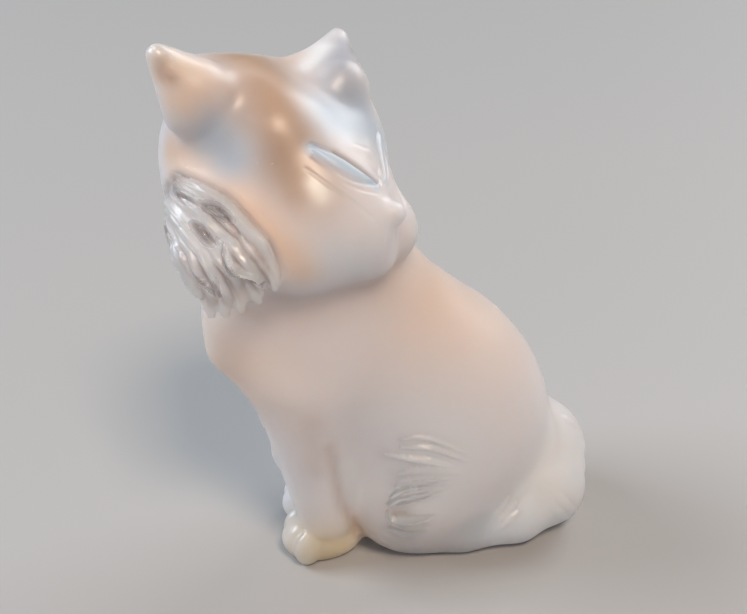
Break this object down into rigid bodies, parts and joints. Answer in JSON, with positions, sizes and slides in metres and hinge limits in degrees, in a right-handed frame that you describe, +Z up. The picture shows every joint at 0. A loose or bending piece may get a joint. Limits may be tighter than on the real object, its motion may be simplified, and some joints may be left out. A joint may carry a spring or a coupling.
{
  "type": "seated cat figurine",
  "caption": "Solid satin-finished crystal figurine of a seated long-haired cat looking back over its left shoulder, standing on a ground flat base.",
  "frame": {"origin": "middle of the flat base, under the centre of the bounding box", "axes": "+Z up, the cat's body faces -Y and its left side is +X"},
  "size_m": [0.0362, 0.0652, 0.084],
  "materials": {
    "satin_crystal": "pressed lead crystal, acid-satin frosted all over, with polished clear ear tips, cheek ruffs and fur grooves"
  },
  "bodies": {
    "root": {"crystal_cat": "satin_crystal"}
  },
  "joints": []
}
